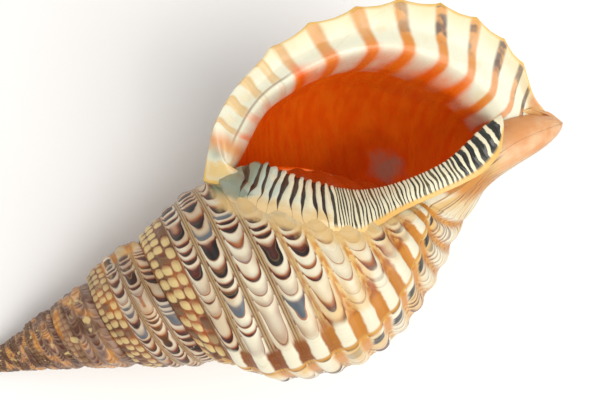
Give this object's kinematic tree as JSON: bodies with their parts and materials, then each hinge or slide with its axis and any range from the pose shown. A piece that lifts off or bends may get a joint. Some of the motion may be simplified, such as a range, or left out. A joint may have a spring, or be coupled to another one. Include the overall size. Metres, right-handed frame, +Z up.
{
  "type": "triton shell",
  "caption": "Large spiral sea shell with a pointed spire, a swollen last whorl and a wide flared mouth, lying on its back.",
  "frame": {"origin": "on the surface the shell lies on, under the middle of its bounding box", "axes": "+X from the spire's tip towards the canal, +Y towards the outer lip, +Z up out of the mouth"},
  "size_m": [0.3162, 0.1706, 0.135],
  "materials": {
    "shell": "glossy natural shell, cream with brown marks, orange inside the mouth"
  },
  "bodies": {
    "root": {"triton_shell": "shell"}
  },
  "joints": []
}
